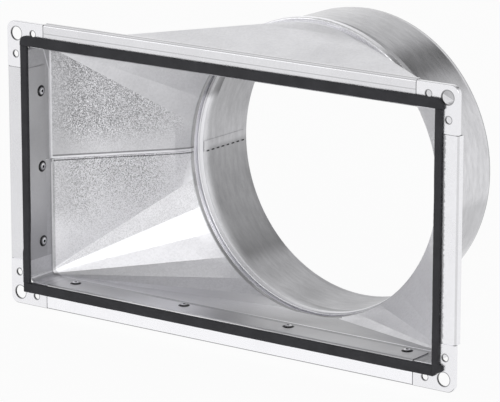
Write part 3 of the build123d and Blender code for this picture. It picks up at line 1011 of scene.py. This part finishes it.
# %% Floor
def white_share(tree, seen, mirrored):
    """How much plain white a ray gets: seen by the camera, mirrored in metal or through glass."""
    path = add_node(tree, "ShaderNodeLightPath")
    direct = math_node(tree, "MULTIPLY", path.outputs["Is Camera Ray"], seen)
    glossy, through = path.outputs["Is Glossy Ray"], path.outputs["Is Transmission Ray"]
    bounced = math_node(tree, "MAXIMUM", glossy, through)
    return math_node(tree, "MAXIMUM", direct, math_node(tree, "MULTIPLY", bounced, mirrored))


floor_size = 12.0
floor_gap = 0.0005
bpy.ops.mesh.primitive_plane_add(size=floor_size, location=(0, 0, cad_low.z - floor_gap))
floor = bpy.context.object
floor.name = "floor"
paper = bpy.data.materials.new("floor_paper")
paper.use_nodes = True
tree = paper.node_tree
tree.nodes.clear()
surface = add_node(tree, "ShaderNodeOutputMaterial")
diffuse = add_node(tree, "ShaderNodeBsdfDiffuse", Color=(0.92, 0.92, 0.92, 1.0))
glow = add_node(tree, "ShaderNodeEmission", Color=(1.0, 1.0, 1.0, 1.0), Strength=1.0)
blend = add_node(tree, "ShaderNodeMixShader")
tree.links.new(white_share(tree, 0.94, 0.96), blend.inputs[0])
tree.links.new(diffuse.outputs[0], blend.inputs[1])
tree.links.new(glow.outputs[0], blend.inputs[2])
tree.links.new(blend.outputs[0], surface.inputs["Surface"])
floor.data.materials.append(paper)
floor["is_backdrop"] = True
print("floor at", round(floor.location.z, 4))

# %% [markdown]
# ## The room
# Bare metal shows the room more than its own colour, so the room needs a shape: white walls round
# the horizon, a greyer ceiling, white panels in front on both sides and at the right, a broad
# faint one behind on the left, and two dark gaps high up behind. They could be real cards that
# give light, but then they would also cast shadows and show in the floor. A panel or gap is a
# soft round patch on the sky instead.

# %% World
def direction_of(angle, height):
    """Direction at an angle round from the front (towards the right) and a height, in degrees."""
    turn, rise = math.radians(angle), math.radians(height)
    return Vector((
        math.sin(turn) * math.cos(rise), -math.cos(turn) * math.cos(rise), math.sin(rise),
    ))


world = bpy.data.worlds.new("studio")
bpy.context.scene.world = world
world.use_nodes = True
tree = world.node_tree
tree.nodes.clear()
out = add_node(tree, "ShaderNodeOutputWorld")
coordinates = add_node(tree, "ShaderNodeTexCoord")
sky = add_node(tree, "ShaderNodeSeparateXYZ")
tree.links.new(coordinates.outputs["Generated"], sky.inputs[0])
ceiling = add_node(
    tree, "ShaderNodeMapRange", From_Min=0.15, From_Max=0.85, To_Min=0.935, To_Max=0.31,
)
ceiling.interpolation_type = "SMOOTHSTEP"
tree.links.new(sky.outputs["Z"], ceiling.inputs["Value"])
level = ceiling.outputs["Result"]
sky_patches = [  # name, angle round, height, radius of the core and of the edge, strength
    ("panel_front_right", 43, 23, 4, 20, 1.13),
    ("panel_right", 66, 26, 2, 12, 0.60),
    ("panel_front_left", -39, 22, 3, 14, 0.95),
    ("panel_back_left", -128, 38, 10, 30, 0.33),
    ("gap_behind", 171, 38, 3, 13, -0.75),
    ("gap_beside_it", 158, 32, 3, 12, -0.30),
]
for name, angle, height, core, edge, strength in sky_patches:
    nearness = add_node(tree, "ShaderNodeVectorMath")
    nearness.operation = "DOT_PRODUCT"
    nearness.inputs[1].default_value = direction_of(angle, height)
    tree.links.new(coordinates.outputs["Generated"], nearness.inputs[0])
    patch = add_node(
        tree, "ShaderNodeMapRange",
        From_Min=math.cos(math.radians(edge)), From_Max=math.cos(math.radians(core)),
        To_Min=0.0, To_Max=strength,
    )
    patch.interpolation_type = "SMOOTHSTEP"
    tree.links.new(nearness.outputs["Value"], patch.inputs["Value"])
    level = math_node(tree, "ADD", level, patch.outputs["Result"])
    print(name, "at", angle, height)
room = add_node(tree, "ShaderNodeBackground", Color=(1.0, 1.0, 1.0, 1.0))
tree.links.new(level, room.inputs["Strength"])
white = add_node(tree, "ShaderNodeBackground", Color=(1.0, 1.0, 1.0, 1.0), Strength=1.0)
blend = add_node(tree, "ShaderNodeMixShader")
tree.links.new(white_share(tree, 1.0, 0.25), blend.inputs[0])
tree.links.new(room.outputs[0], blend.inputs[1])
tree.links.new(white.outputs[0], blend.inputs[2])
tree.links.new(blend.outputs[0], out.inputs["Surface"])

# %% [markdown]
# ## The lamp
# One large soft box stands in front at the right, in the same direction as the sky's brightest
# panel. A sun would give the floor a hard shadow, and the sky alone gives hardly any, so a square
# lamp of 90 cm is used.

# %% Lamp
soft_box = bpy.data.lights.new("front_right_box", "AREA")
soft_box.shape = "SQUARE"
soft_box.size = 0.9
soft_box.energy = 6.0
soft_box_distance = 3.2
holder = bpy.data.objects.new("front_right_box", soft_box)
towards_box = direction_of(43, 23)
holder.location = towards_box * soft_box_distance
holder.rotation_euler = towards_box.to_track_quat("Z", "Y").to_euler()
bpy.context.scene.collection.objects.link(holder)
bpy.context.scene.view_settings.view_transform = "Standard"
print("lamp at", [round(v, 2) for v in holder.location])

# %% [markdown]
# ## Measure and finish
# The foam must not grow past the solids it replaces by more than a hair. Nobody can see that in a
# picture, so the box of the dressed model is written beside the box of the solids.

# %% Measure and finish
low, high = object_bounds()
print("visual box", [round(v, 4) for v in (*low, *high)])
